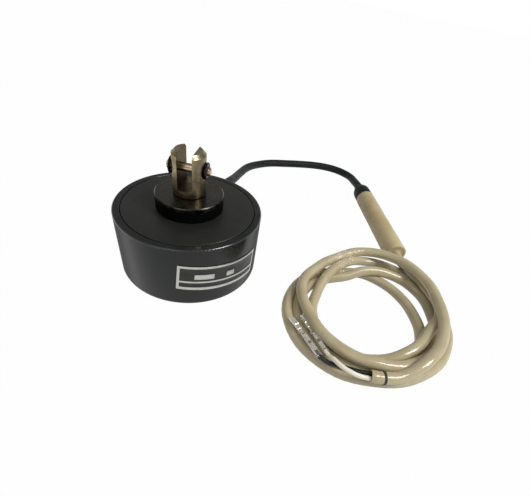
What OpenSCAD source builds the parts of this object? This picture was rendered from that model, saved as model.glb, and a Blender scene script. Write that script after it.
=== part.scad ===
// Pull-type pot solenoid: a round steel case with a plunger that carries a stop flange, a forked
// head and its pin, and a lead spliced to a coiled two-core cord with crimped ends.
// Z is the plunger's axis, z = 0 is the base, and the pin of the forked head lies along X.

/* [Case] */
// Outer diameter of the case
case_d = 90; // [84:1:110]
// Height of the case
case_h = 43; // [40:0.5:60]
// Thickness of the base
base_t = 7; // [6:0.5:9]
// Wall beside the winding
wall_t = 6.5; // [5.5:0.25:8]
// Wall of the rim around the front plate
rim_t = 4.4; // [3:0.1:5]
// Radius of the bottom outer edge
bottom_edge_r = 3; // [1:0.25:5]
// Radius of the top outer edge of the rim
rim_edge_r = 0.8; // [0.3:0.1:1.4]
// Number of tapped mounting holes in the base
mount_count = 4; // [3:1:6]
// Pitch circle of the mounting holes
mount_pcd = 60; // [50:1:66]
// Core diameter of the mounting holes
mount_hole_d = 4.2; // [3.3:0.1:5]
// Depth of the mounting holes
mount_hole_depth = 5; // [3:0.5:5.5]

/* [Front plate] */
// Thickness of the front plate
plate_t = 6; // [4:0.5:8]
// Gap between the front plate and the rim
plate_gap = 0.2; // [0.1:0.05:0.5]
// Chamfer on both sides of the groove around the plate
groove_chamfer = 0.4; // [0.2:0.1:0.8]

/* [Winding] */
// Gap around the bobbin's flanges
bobbin_gap = 1.5; // [0.5:0.25:3]
// Thickness of the bobbin's flanges
bobbin_flange_t = 2; // [1:0.25:3]
// Wall of the bobbin's tube
bobbin_tube_t = 2; // [1:0.25:3]
// How far the bobbin's flanges stand past the winding
winding_margin = 3.5; // [2:0.5:6]
// Thickness of the tape around the winding
tape_t = 0.5; // [0.2:0.1:1]
// Gap between round pieces that slip over each other
slip_gap = 0.05; // [0.02:0.01:0.1]

/* [Plunger and core] */
// Diameter of the plunger
plunger_d = 28; // [24:1:32]
// Running clearance of the plunger in its guide, on the radius
plunger_gap = 0.05; // [0.02:0.01:0.1]
// Wall of the brass guide tube
guide_wall = 1.5; // [1:0.25:2]
// Diameter of the flat end of the plunger's cone
tip_d = 16; // [12:1:18]
// Length of the plunger's cone
tip_h = 10; // [6:1:12]
// Gap between the cone and its seat when the plunger is in
tip_gap = 1; // [0.5:0.1:2]
// Thickness of the core under the seat
core_floor = 8; // [7:0.5:9]
// How much of the cone the seat takes
seat_depth = 8; // [5:0.5:9]
// Shank diameter of the core's screw
screw_d = 5; // [4:0.5:6]
// Head diameter of the core's screw
screw_head_d = 10; // [8.5:0.5:12]
// How far the screw goes into the core
screw_grip = 6; // [4:0.5:6.5]
// Width across the flats of the screw's socket
screw_socket = 3; // [2:0.5:3.5]

/* [Cushion and flange] */
// Outer diameter of the rubber cushion
cushion_d = 41; // [38:0.5:50]
// Height of the rubber cushion
cushion_h = 6.2; // [3:0.1:8]
// Gap between the plunger and the cushion's bore
cushion_bore_gap = 1; // [0.5:0.1:2]
// Radius of the cushion's outer edges
cushion_edge_r = 0.6; // [0.2:0.1:1.4]
// Gap under the flange when the plunger is in
flange_gap = 0.2; // [0.1:0.05:0.5]
// Diameter of the stop flange
flange_d = 41; // [36:0.5:48]
// Thickness of the stop flange
flange_t = 3; // [2:0.25:5]
// Chamfer on the flange's edges
flange_chamfer = 0.5; // [0.2:0.1:0.9]

/* [Forked head] */
// Diameter of the forked head
head_d = 19.5; // [17:0.5:22]
// Height of the forked head above the flange
head_h = 25.5; // [24:0.5:34]
// Chamfer around the head's top
head_top_chamfer = 2; // [1:0.1:3]
// Chamfer at the foot of the head
head_foot_chamfer = 0.5; // [0.2:0.1:0.9]
// Width of the slot
slot_w = 8.6; // [7:0.2:10]
// Height of the slot's floor above the flange
slot_floor_h = 4.6; // [4:0.2:8]
// Height of the pin above the flange
pin_h = 15; // [14:0.25:18]
// Diameter of the stud that joins head, flange and plunger
stud_d = 12; // [10:0.5:14]
// How far the stud goes into the plunger
stud_grip = 14; // [8:0.5:16]

/* [Pin and rings] */
// Diameter of the pin
pin_d = 5; // [4:0.25:6]
// Running clearance of the pin in the head, on the radius
pin_gap = 0.05; // [0.02:0.01:0.1]
// How far the pin stands out past the head at each end
pin_overhang = 3; // [2.5:0.25:5]
// Chamfer on the pin's ends
pin_chamfer = 0.6; // [0.2:0.1:1]
// Depth of the ring's groove
groove_depth = 0.5; // [0.3:0.05:0.6]
// Outer diameter of a retaining ring
ring_d = 9.6; // [8:0.2:11]
// Thickness of a retaining ring
ring_t = 0.9; // [0.6:0.1:1.2]
// Gap between a retaining ring and the head
ring_gap = 0.3; // [0.2:0.05:0.5]
// Width of a retaining ring's band
ring_band = 1.3; // [0.8:0.1:1.4]
// Width of each lug inside a retaining ring
ring_lug_w = 1.6; // [1:0.1:2]
// Width of a retaining ring's mouth
ring_mouth_w = 3.6; // [2.5:0.1:3.8]
// Turn of the retaining rings' mouths about the pin, from the back downwards
ring_turn = 75; // [0:5:360]

/* [Lead] */
// Diameter of the black lead
lead_d = 7.5; // [6:0.25:8.5]
// Height of the lead where it leaves the case
lead_h = 24; // [18:0.5:28]
// Direction in which the lead leaves the case, from +X
lead_angle = 85; // [80:1:95]
// Wall of the grommet's neck
grommet_wall = 1.4; // [1:0.1:2]
// Diameter of the grommet's collar
grommet_d = 15; // [13:0.5:18]
// Thickness of the grommet's collar
grommet_collar_t = 2.5; // [1.5:0.25:4]
// How far the grommet's nose stands out past the collar
grommet_nose = 18; // [10:0.5:22]
// Wall of the grommet's nose at its root
grommet_root = 2.4; // [1.6:0.1:3]
// Wall of the grommet's nose at its end
grommet_lip = 1; // [0.6:0.1:1.4]
// Number of grooves that let the nose bend
nose_grooves = 4; // [2:1:5]
// Width of a groove in the nose
nose_groove_w = 1.2; // [0.8:0.1:1.6]
// Depth of a groove in the nose
nose_groove_depth = 0.6; // [0.3:0.1:0.8]
// Depth of the flat that the collar sits on
spot_depth = 0.9; // [0.8:0.05:1.5]

/* [Splice] */
// Diameter of the beige sleeve
sleeve_d = 16.5; // [15:0.5:20]
// Length of the beige sleeve
sleeve_len = 92; // [60:1:100]
// Wall of the sleeve around the boot's plug
sleeve_wall = 1.6; // [1:0.1:2]
// Length of the boot's plug inside the sleeve
boot_plug_len = 12; // [8:0.5:16]
// Diameter of the boot's bulb
boot_d = 14.4; // [13:0.2:16]
// Length of the boot's bulb
boot_len = 11; // [9:0.5:14]
// Length of the boot's neck
boot_neck_len = 6; // [4:0.5:8]
// Wall of the boot's neck
boot_neck_wall = 0.9; // [0.6:0.1:1.5]
// How far the cord goes into the sleeve
cord_grip = 12; // [8:0.5:20]

/* [Cord] */
// Diameter of the beige cord
cord_d = 6.9; // [6:0.1:8]
// Radius of the innermost turn's round ends, at the middle of the cord
coil_in_r = 30; // [28:0.5:31]
// Radius of the outermost turn's round ends, at the middle of the cord
coil_out_r = 46.5; // [44:0.5:48]
// Radius of the round ends of the turn that lies on top
coil_top_r = 33; // [31.5:0.5:34]
// How much longer than wide the coil is
coil_stretch = 18.5; // [14:0.5:20]
// Direction of the coil's long side, from +X
coil_yaw = 53; // [45:1:60]
// Radius of the last stretch, which lies on the outer turns
tail_r = 46; // [42:0.5:48]
// Direction from the middle of the coil's near end to the cord's end
tail_end_angle = -91; // [-100:1:-85]
// Angle that the last stretch takes up
tail_sweep = 60; // [40:1:70]
// Distance of the marker band from the cord's end
band_offset = 6.5; // [3:0.5:15]
// Width of the marker band
band_w = 1.2; // [0.8:0.1:3]
// Thickness of the marker band
band_t = 0.2; // [0.1:0.05:0.5]

/* [Wires and terminals] */
// Diameter of a wire
wire_d = 2.6; // [2:0.1:3]
// Distance between the wires at the cord's end
wire_pitch = 3; // [2.8:0.1:3.4]
// Length of a terminal's crimp
crimp_len = 11; // [6:0.5:12]
// Wall of a terminal's crimp
crimp_wall = 0.3; // [0.2:0.05:0.4]
// Length of a terminal's neck
terminal_neck_len = 5; // [2:0.5:6]
// Width of a terminal's neck
terminal_neck_w = 2; // [1.5:0.1:2.4]
// Length of a terminal's socket
socket_len = 13; // [6:0.5:14]
// Width of a terminal's socket
socket_w = 2.8; // [2.4:0.1:3.2]
// Height of a terminal's socket
socket_h = 1.8; // [1.4:0.1:2]
// Sheet thickness of a terminal's socket
terminal_sheet = 0.35; // [0.25:0.05:0.5]
// Gap between a clear cover and the socket
cover_gap = 0.5; // [0.2:0.1:1.5]
// Wall of a clear cover
cover_wall = 0.35; // [0.2:0.05:0.5]

/* [Hidden] */
$fn = 96;
// Cutters reach past the faces that they cut by this much
over = 1;

// Radii and levels inside the case
case_r = case_d / 2;
chamber_r = case_r - wall_t;
plate_bore_r = case_r - rim_t;
plate_z = case_h - plate_t;
guide_in_r = plunger_d / 2 + plunger_gap;
guide_out_r = guide_in_r + guide_wall;
bobbin_in_r = guide_out_r + slip_gap;
bobbin_tube_r = bobbin_in_r + bobbin_tube_t;
bobbin_r = chamber_r - bobbin_gap;
bobbin_h = plate_z - base_t;
winding_out_r = bobbin_r - winding_margin;
winding_z = base_t + bobbin_flange_t;
winding_h = bobbin_h - 2 * bobbin_flange_t;

// Core, its seat and the plunger's cone, which is steeper than 45 degrees
core_r = plunger_d / 2;
seat_z = base_t + core_floor;
tip_z = seat_z + tip_gap;
cone_slope = (plunger_d - tip_d) / 2 / tip_h;
seat_mouth_r = tip_d / 2 + cone_slope * seat_depth;
screw_head_h = (screw_head_d - screw_d) / 2;
screw_head_sink = 0.5;
screw_top_z = base_t + screw_grip;
screw_end_gap = 0.4;

// Levels above the case
flange_z = case_h + cushion_h + flange_gap;
head_z = flange_z + flange_t;
head_r = head_d / 2;
slot_floor_z = head_z + slot_floor_h;
pin_z = head_z + pin_h;
stud_r = stud_d / 2;
stud_hole_r = stud_r + slip_gap;
stud_end_gap = 0.5;

// Pin and its rings
pin_r = pin_d / 2;
pin_half = head_r + pin_overhang;
groove_r = pin_r - groove_depth;
ring_x = head_r + ring_gap;

// Grommet in the case wall, with distances measured from the case's axis
grommet_neck_r = lead_d / 2 + grommet_wall;
spot_x = case_r - spot_depth;
function nose_r(share) = lead_d / 2 + grommet_root + (grommet_lip - grommet_root) * share;

// Splice: the sleeve lies on the surface, and its back end is where the boot goes in
sleeve_back = [136, 133, sleeve_d / 2];
sleeve_yaw = -79;
boot_plug_r = sleeve_d / 2 - sleeve_wall;
cord_r = cord_d / 2;

// Coil, the middle of its near end, and the stretch that lies on top there
coil_middle = [125, -21.5, 0];
coil_near = coil_middle - coil_stretch / 2 * [cos(coil_yaw), sin(coil_yaw), 0];
band_r = cord_r + slip_gap + band_t;
tail_z = cord_d + band_r + slip_gap;
tail_steps = 10;

// Terminals: place of the crimp's open end and direction in plan, on top of the coil's lower turns
crimp_r = wire_d / 2 + crimp_wall;
cover_in_r = crimp_r + slip_gap;
cover_len = crimp_len + terminal_neck_len - cover_gap;
terminal_rest_gap = 0.3;
terminal_z = cord_d + cover_in_r + cover_wall + terminal_rest_gap;
terminal_black_at = [92, -68, terminal_z];
terminal_black_yaw = 127;
terminal_white_at = [96.5, -66, terminal_z];
terminal_white_yaw = 123;

// Route of the lead: straight out of the grommet, down to the surface and round to the boot
lead_inside = 1;
lead_straight = 20;
boot_straight = 3;
function lead_out(r) = [r * cos(lead_angle), r * sin(lead_angle), lead_h];
lead_route = concat([lead_out(chamber_r - lead_inside), lead_out(case_r), lead_out(case_r + lead_straight)], [
    [8, 78, 22], [9.5, 97, 17], [11, 120, 12], [15.5, 146, 8], [24, 164, 5], [36.5, 176, 4], [50.5, 182, 4],
    [72, 190, 4], [87, 193, 4], [102, 195, 4], [113, 193.5, 4], [124, 186, 4.5], [129, 174, 6]
], [boot_point(boot_len + boot_neck_len + boot_straight), boot_point(boot_len)]);

// Points on the sleeve's axis, behind its back end and past its front end
function sleeve_way() = [cos(sleeve_yaw), sin(sleeve_yaw), 0];
function boot_point(back) = sleeve_back - back * sleeve_way();
function sleeve_point(along) = sleeve_back + along * sleeve_way();

// Route of the cord out of the sleeve: distance past its end, and share of the drop to the surface
entry_steps = [[6, 0.2], [13, 0.7], [20, 1]];
entry_drop = sleeve_d / 2 - cord_r;
entry_route = concat([sleeve_point(sleeve_len - cord_grip), sleeve_point(sleeve_len)],
    [for (step = entry_steps) sleeve_point(sleeve_len + step[0]) - [0, 0, step[1] * entry_drop]]);

// Routes of the cord's end and of the wires
wire_bury = 4;
wire_stop = 1;
function tail_point(a) = coil_near + [tail_r * cos(a), tail_r * sin(a), tail_z];
tail_route = [for (i = [0:tail_steps]) tail_point(tail_end_angle + tail_sweep * (1 - i / tail_steps))];
tail_end = tail_point(tail_end_angle);
tail_way = [sin(tail_end_angle), -cos(tail_end_angle), 0];
tail_side = [-tail_way[1], tail_way[0], 0];
function wire_start(side) = tail_end + side * wire_pitch / 2 * tail_side;
function wire_end(at, yaw) = at + (crimp_len - wire_stop) * [cos(yaw), sin(yaw), 0];
wire_black_route = concat([wire_start(-1) - wire_bury * tail_way, wire_start(-1)], [
    [113, -73, 9.8], [108, -71.8, 8.8], [103, -71, 8.4], [97.5, -70.4, 8.4]
], [terminal_black_at, wire_end(terminal_black_at, terminal_black_yaw)]);
wire_white_route = concat([wire_start(1) - wire_bury * tail_way, wire_start(1)], [
    [113, -76.4, 11], [108, -75.6, 11.8], [103, -73.4, 12.2], [99.5, -70.2, 11.8]
], [terminal_white_at, wire_end(terminal_white_at, terminal_white_yaw)]);

// Sweep of a round tube along a route: a smooth curve through its points, then one ring at each step
function curve_at(p, i, t) =
    let (a = p[max(i - 1, 0)], b = p[i], c = p[i + 1], d = p[min(i + 2, len(p) - 1)])
    0.5 * (2 * b + (c - a) * t + (2 * a - 5 * b + 4 * c - d) * t * t
    + (3 * b - a - 3 * c + d) * t * t * t);
function smooth(p, steps) = concat(
    [for (i = [0:len(p) - 2], k = [0:steps - 1]) curve_at(p, i, k / steps)], [p[len(p) - 1]]);
function unit(v) = v / norm(v);
function heading(p, i) = unit(p[min(i + 1, len(p) - 1)] - p[max(i - 1, 0)]);
function ring(p, i, r, n) =
    let (t = heading(p, i), s = unit(cross(t, [0, 0, 1])), u = cross(s, t))
    [for (k = [0:n - 1]) p[i] + r * (cos(360 * k / n) * s + sin(360 * k / n) * u)];

module tube(route, d, sides) {
    last = len(route) - 1;
    points = [for (i = [0:last]) each ring(route, i, d / 2, sides)];
    walls = [for (i = [0:last - 1], k = [0:sides - 1])
        [i * sides + k, i * sides + (k + 1) % sides, (i + 1) * sides + (k + 1) % sides, (i + 1) * sides + k]];
    first_cap = [[for (k = [sides - 1:-1:0]) k]];
    last_cap = [[for (k = [0:sides - 1]) last * sides + k]];
    polyhedron(points, concat(walls, first_cap, last_cap), convexity = 6);
}

// Half profile of a disc with rounded outer corners
module round_edged_half(r, h, bottom_r, top_r) {
    intersection() {
        square([r, h]);
        union() {
            translate([0, bottom_r])
                square([r, h - bottom_r - top_r]);
            square([r - max(bottom_r, top_r), h]);
            for (corner = [[bottom_r, bottom_r], [top_r, h - top_r]]) {
                translate([r - corner[0], corner[1]])
                    circle(r = corner[0]);
                translate([0, corner[1] - corner[0]])
                    square([r - corner[0], 2 * corner[0]]);
            }
        }
    }
}

// Half profile of a disc with chamfered outer corners
module chamfered_half(r, h, bottom_c, top_c) {
    polygon([[0, 0], [r - bottom_c, 0], [r, bottom_c], [r, h - top_c], [r - top_c, h], [0, h]]);
}

// Round plug of a given radius, for drilling along Z
module drill(r, from_z, to_z) {
    translate([0, 0, from_z])
        cylinder(r = r, h = to_z - from_z);
}

// Puts a shape that runs along X on the line on which the lead leaves the case
module on_lead_axis() {
    rotate([0, 0, lead_angle])
        translate([0, 0, lead_h])
        rotate([0, 90, 0])
        children();
}

// Puts a shape that runs along Z on the sleeve's axis, its zero at the sleeve's back end
module on_sleeve_axis() {
    translate(sleeve_back)
        rotate([0, 0, sleeve_yaw])
        rotate([0, 90, 0])
        children();
}

module case() {
    color([0.16, 0.17, 0.18])
    difference() {
        rotate_extrude()
            round_edged_half(case_r, case_h, bottom_edge_r, rim_edge_r);
        drill(chamber_r, base_t, case_h);
        drill(plate_bore_r, plate_z, case_h + over);
        translate([0, 0, case_h - groove_chamfer])
            cylinder(r1 = plate_bore_r, r2 = plate_bore_r + groove_chamfer, h = groove_chamfer);
        for (i = [0:mount_count - 1])
            rotate([0, 0, 360 * (i + 0.5) / mount_count])
            translate([mount_pcd / 2, 0, 0])
            drill(mount_hole_d / 2, -over, mount_hole_depth);
        drill(screw_d / 2 + slip_gap, -over, base_t + over);
        drill(screw_head_d / 2 + slip_gap, -over, screw_head_sink);
        translate([0, 0, screw_head_sink])
            cylinder(r1 = screw_head_d / 2 + slip_gap, r2 = screw_d / 2 + slip_gap, h = screw_head_h);
        on_lead_axis()
            drill(grommet_neck_r + slip_gap, chamber_r - over, case_r + over);
        on_lead_axis()
            drill(grommet_d / 2 + slip_gap, spot_x, case_r + over);
    }
}

module front_plate() {
    color([0.15, 0.15, 0.14])
    translate([0, 0, plate_z])
    difference() {
        rotate_extrude()
            chamfered_half(plate_bore_r - plate_gap, plate_t, groove_chamfer, groove_chamfer);
        drill(guide_out_r + slip_gap, -over, plate_t + over);
    }
}

module bobbin() {
    color([0.85, 0.82, 0.72])
    translate([0, 0, base_t])
    difference() {
        union() {
            drill(bobbin_tube_r, 0, bobbin_h);
            drill(bobbin_r, 0, bobbin_flange_t);
            drill(bobbin_r, bobbin_h - bobbin_flange_t, bobbin_h);
        }
        drill(bobbin_in_r, -over, bobbin_h + over);
    }
}

module winding() {
    color([0.72, 0.4, 0.2])
    translate([0, 0, winding_z])
    difference() {
        drill(winding_out_r, 0, winding_h);
        drill(bobbin_tube_r + slip_gap, -over, winding_h + over);
    }
}

module winding_tape() {
    color([0.8, 0.68, 0.25])
    translate([0, 0, winding_z])
    difference() {
        drill(winding_out_r + slip_gap + tape_t, 0, winding_h);
        drill(winding_out_r + slip_gap, -over, winding_h + over);
    }
}

module guide_tube() {
    color([0.78, 0.62, 0.3])
    difference() {
        drill(guide_out_r, base_t, case_h);
        drill(guide_in_r, base_t - over, case_h + over);
    }
}

module fixed_core() {
    color([0.6, 0.6, 0.6])
    difference() {
        drill(core_r, base_t, seat_z + seat_depth);
        translate([0, 0, seat_z])
            cylinder(r1 = tip_d / 2, r2 = seat_mouth_r, h = seat_depth);
        drill(screw_d / 2 + slip_gap, base_t - over, screw_top_z + screw_end_gap);
    }
}

module core_screw() {
    color([0.55, 0.55, 0.56])
    difference() {
        union() {
            translate([0, 0, screw_head_sink])
                cylinder(r1 = screw_head_d / 2, r2 = screw_d / 2, h = screw_head_h);
            drill(screw_d / 2, screw_head_sink, screw_top_z);
        }
        translate([0, 0, screw_head_sink - over])
            cylinder(d = screw_socket / cos(30), h = over + screw_head_h, $fn = 6);
    }
}

module cushion_ring() {
    color([0.03, 0.03, 0.03])
    translate([0, 0, case_h])
    difference() {
        rotate_extrude()
            round_edged_half(cushion_d / 2, cushion_h, cushion_edge_r, cushion_edge_r);
        drill(plunger_d / 2 + cushion_bore_gap, -over, cushion_h + over);
    }
}

module plunger() {
    color([0.62, 0.6, 0.56])
    difference() {
        union() {
            drill(plunger_d / 2, tip_z + tip_h, flange_z);
            translate([0, 0, tip_z])
                cylinder(r1 = tip_d / 2, r2 = plunger_d / 2, h = tip_h);
        }
        drill(stud_hole_r, flange_z - stud_grip - stud_end_gap, flange_z + over);
    }
}

module stop_flange() {
    color([0.2, 0.2, 0.2])
    translate([0, 0, flange_z])
    difference() {
        rotate_extrude()
            chamfered_half(flange_d / 2, flange_t, flange_chamfer, flange_chamfer);
        drill(stud_hole_r, -over, flange_t + over);
    }
}

module clevis() {
    color([0.5, 0.46, 0.38])
    difference() {
        union() {
            drill(stud_r, flange_z - stud_grip, head_z);
            translate([0, 0, head_z])
                rotate_extrude()
                chamfered_half(head_r, head_h, head_foot_chamfer, head_top_chamfer);
        }
        // slot for the link, open at the top and right through along Y
        translate([-slot_w / 2, -head_d, slot_floor_z])
            cube([slot_w, 2 * head_d, head_h]);
        // one bore through both ears
        translate([0, 0, pin_z])
            rotate([0, 90, 0])
            cylinder(r = pin_r + pin_gap, h = head_d + 2 * over, center = true);
    }
}

// Half profile of the pin, turned about its own axis: length along Y
module pin_half_profile() {
    difference() {
        polygon([[0, -pin_half], [pin_r - pin_chamfer, -pin_half], [pin_r, pin_chamfer - pin_half],
            [pin_r, pin_half - pin_chamfer], [pin_r - pin_chamfer, pin_half], [0, pin_half]]);
        for (side = [-1, 1])
            translate([groove_r, side * (ring_x + ring_t / 2) - ring_t / 2 - slip_gap])
            square([pin_d, ring_t + 2 * slip_gap]);
    }
}

module clevis_pin() {
    color([0.66, 0.58, 0.48])
    translate([0, 0, pin_z])
        rotate([0, 90, 0])
        rotate_extrude()
        pin_half_profile();
}

// Open ring with three lugs that reach into the pin's groove, its mouth towards +Y before it is turned
module retaining_ring_outline() {
    difference() {
        circle(d = ring_d);
        difference() {
            circle(r = ring_d / 2 - ring_band);
            for (a = [0, 180, 270])
                rotate([0, 0, a])
                translate([0, -ring_lug_w / 2])
                square([ring_d / 2, ring_lug_w]);
        }
        circle(r = groove_r + slip_gap);
        translate([-ring_mouth_w / 2, 0])
            square([ring_mouth_w, ring_d]);
    }
}

module retaining_ring(side) {
    color([0.05, 0.05, 0.05])
    translate([side * (ring_x + ring_t / 2), 0, pin_z])
        rotate([-ring_turn, 0, 0])
        rotate([0, 90, 0])
        linear_extrude(ring_t, center = true)
        retaining_ring_outline();
}

module retaining_ring_left() {
    retaining_ring(-1);
}

module retaining_ring_right() {
    retaining_ring(1);
}

module lead_grommet() {
    nose_start = spot_x + grommet_collar_t;
    groove_pitch = grommet_nose / (nose_grooves + 1);
    color([0.06, 0.06, 0.06])
    on_lead_axis()
    difference() {
        union() {
            drill(grommet_neck_r, chamber_r, spot_x + over);
            drill(grommet_d / 2, spot_x, nose_start);
            translate([0, 0, nose_start])
                cylinder(r1 = lead_d / 2 + grommet_root, r2 = lead_d / 2 + grommet_lip, h = grommet_nose);
        }
        drill(lead_d / 2, chamber_r - over, nose_start + grommet_nose + over);
        // rings cut round the tapered nose
        for (i = [1:nose_grooves])
            translate([0, 0, nose_start + i * groove_pitch - nose_groove_w / 2])
            difference() {
                cylinder(d = grommet_d, h = nose_groove_w);
                drill(nose_r(i / (nose_grooves + 1)) - nose_groove_depth, -over, nose_groove_w + over);
            }
    }
}

module lead_cable() {
    color([0.13, 0.14, 0.14])
    tube(smooth(lead_route, 2), lead_d, 10);
}

module splice_boot() {
    bulb_r = boot_d / 2;
    neck_r = lead_d / 2 + boot_neck_wall;
    shoulder = boot_len / 3;
    color([0.1, 0.11, 0.11])
    on_sleeve_axis()
    difference() {
        union() {
            drill(boot_plug_r - slip_gap, -over, boot_plug_len);
            translate([0, 0, -boot_len])
                rotate_extrude()
                round_edged_half(bulb_r, boot_len, shoulder, over / 2);
            drill(neck_r, -boot_len - boot_neck_len, -boot_len / 2);
        }
        drill(lead_d / 2, -boot_len - boot_neck_len - over, -boot_len);
    }
}

module splice_sleeve() {
    color([0.66, 0.6, 0.46])
    on_sleeve_axis()
    difference() {
        rotate_extrude()
            chamfered_half(sleeve_d / 2, sleeve_len, sleeve_wall / 4, sleeve_wall / 4);
        drill(boot_plug_r, -over, boot_plug_len + over);
        drill(cord_r, sleeve_len - cord_grip, sleeve_len + over);
    }
}

module cord_entry() {
    color([0.68, 0.63, 0.5])
    tube(smooth(entry_route, 2), cord_d, 10);
}

// Flat band with round ends: the outline of turns that lie side by side
module layer_outline(in_r, out_r, z) {
    translate([in_r, z - cord_r])
        square([out_r - in_r, cord_d]);
    for (r = [in_r, out_r])
        translate([r, z])
        circle(r = cord_r);
}

module coil_outline() {
    nest = cord_d * sin(60);
    layer_outline(coil_in_r, coil_out_r, cord_r);
    layer_outline(coil_top_r - cord_r / 2, coil_top_r, cord_r + nest);
}

// Two round ends and two straight sides
module cable_coil() {
    color([0.68, 0.63, 0.5])
    translate(coil_middle)
    for (turn = [0, 180])
        rotate([0, 0, coil_yaw + turn]) {
            translate([coil_stretch / 2, 0, 0])
                rotate([0, 0, -90])
                rotate_extrude(angle = 180)
                coil_outline();
            rotate([90, 0, 90])
                linear_extrude(coil_stretch, center = true)
                coil_outline();
        }
}

module cord_tail() {
    color([0.68, 0.63, 0.5])
    tube(tail_route, cord_d, 10);
}

module marker_band() {
    a = tail_end_angle + (band_offset + band_w / 2) / tail_r * 180 / PI;
    color([0.1, 0.1, 0.1])
    translate(tail_point(a))
        rotate([0, 0, a])
        rotate([90, 0, 0])
        difference() {
            cylinder(r = band_r, h = band_w, center = true);
            cylinder(r = cord_r + slip_gap, h = band_w + over, center = true);
        }
}

module wire_black() {
    color([0.05, 0.05, 0.05])
    tube(smooth(wire_black_route, 2), wire_d, 8);
}

module wire_white() {
    color([0.9, 0.88, 0.82])
    tube(smooth(wire_white_route, 2), wire_d, 8);
}

// Crimped contact along +X from the wire's side: a round crimp, whose lower wall runs on as a curved
// neck, and a folded socket
module terminal(at, yaw) {
    socket_x = crimp_len + terminal_neck_len;
    color([0.78, 0.77, 0.74])
    translate(at)
    rotate([0, 0, yaw])
    union() {
        difference() {
            rotate([0, 90, 0])
                drill(crimp_r, 0, socket_x + terminal_sheet);
            rotate([0, 90, 0])
                drill(wire_d / 2, -over, socket_x + over);
            translate([crimp_len, -crimp_r - over, -crimp_r / 2])
                cube([terminal_neck_len + over, 2 * (crimp_r + over), 2 * crimp_r]);
            for (side = [0, 1])
                mirror([0, side, 0])
                translate([crimp_len, terminal_neck_w / 2, -crimp_r - over])
                cube([terminal_neck_len + over, crimp_r, 2 * (crimp_r + over)]);
        }
        translate([socket_x, -socket_w / 2, -crimp_r])
            difference() {
                cube([socket_len, socket_w, socket_h]);
                translate([-over, terminal_sheet, terminal_sheet])
                    cube([socket_len + 2 * over, socket_w - 2 * terminal_sheet,
                        socket_h - 2 * terminal_sheet]);
            }
    }
}

module terminal_black() {
    terminal(terminal_black_at, terminal_black_yaw);
}

module terminal_white() {
    terminal(terminal_white_at, terminal_white_yaw);
}

// Clear tube over the crimp and the neck
module terminal_cover(at, yaw) {
    color([0.85, 0.85, 0.82, 0.4])
    translate(at)
        rotate([0, 0, yaw])
        rotate([0, 90, 0])
        difference() {
            drill(cover_in_r + cover_wall, 0, cover_len);
            drill(cover_in_r, -over, cover_len + over);
        }
}

module terminal_cover_black() {
    terminal_cover(terminal_black_at, terminal_black_yaw);
}

module terminal_cover_white() {
    terminal_cover(terminal_white_at, terminal_white_yaw);
}

case();
front_plate();
bobbin();
winding();
winding_tape();
guide_tube();
fixed_core();
core_screw();
cushion_ring();
plunger();
stop_flange();
clevis();
clevis_pin();
retaining_ring_left();
retaining_ring_right();
lead_grommet();
lead_cable();
splice_boot();
splice_sleeve();
cord_entry();
cable_coil();
cord_tail();
marker_band();
wire_black();
wire_white();
terminal_black();
terminal_white();
terminal_cover_black();
terminal_cover_white();
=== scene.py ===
# %% [markdown]
# # A pot solenoid with its coiled cord
#
# The solid parts of the solenoid come from the CAD model. They are loaded here as a fixed frame, in metres,
# each with its place in its own mesh. Blender adds what the solids lack: the lie of the cords, the small
# sheet-metal pieces, the finishes, the light.

# %% Load the solids
import math

import bpy
from mathutils import Matrix, Vector


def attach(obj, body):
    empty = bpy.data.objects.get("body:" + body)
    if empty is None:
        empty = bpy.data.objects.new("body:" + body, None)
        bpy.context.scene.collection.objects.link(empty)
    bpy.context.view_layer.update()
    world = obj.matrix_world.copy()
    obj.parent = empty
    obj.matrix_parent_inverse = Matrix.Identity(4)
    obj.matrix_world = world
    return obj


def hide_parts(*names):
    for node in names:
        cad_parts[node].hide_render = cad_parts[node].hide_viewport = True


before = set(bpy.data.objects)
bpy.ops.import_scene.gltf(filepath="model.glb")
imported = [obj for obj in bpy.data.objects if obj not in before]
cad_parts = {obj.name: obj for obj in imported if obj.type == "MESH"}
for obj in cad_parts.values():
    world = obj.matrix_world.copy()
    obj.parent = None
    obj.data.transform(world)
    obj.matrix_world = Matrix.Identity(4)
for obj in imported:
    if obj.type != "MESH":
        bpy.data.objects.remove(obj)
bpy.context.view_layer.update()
MM = 0.001

# %% [markdown]
# ## Camera
#
# The picture is taken from above, a little to the right of the solenoid, with a wide lens close by. A camera
# can be turned by hand until it looks right. Here its place and its three axes were measured from the round
# edges of the case instead, so the matrix is filled in directly: its columns are right, up and backwards. The
# picture is cut a little above the middle of the lens, which is what the small shift does.

# %% Set the camera
CAMERA_PLACE = (54.43, -167.53, 151.14)
VIEW_RIGHT = Vector((0.9805, 0.1328, 0.1448))
VIEW_UP = Vector((-0.1965, 0.6742, 0.7119))
SENSOR = 36.0
LENS = 21.33
FRAME_SHIFT = 0.0594

view_back = VIEW_RIGHT.cross(VIEW_UP).normalized()
view_up = view_back.cross(VIEW_RIGHT).normalized()
view_right = VIEW_RIGHT.normalized()
camera_turn = Matrix((view_right, view_up, view_back)).transposed().to_4x4()
camera_data = bpy.data.cameras.new("photo_camera")
camera_data.sensor_width = SENSOR
camera_data.lens = LENS
camera_data.shift_y = FRAME_SHIFT
camera_data.clip_start = 0.01
camera = bpy.data.objects.new("photo_camera", camera_data)
camera.matrix_world = Matrix.Translation(Vector(CAMERA_PLACE) * MM) @ camera_turn
bpy.context.scene.collection.objects.link(camera)
bpy.context.scene.camera = camera
print("camera at", [round(x, 3) for x in camera.location], "looks along", [round(-x, 3) for x in view_back])

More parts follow.
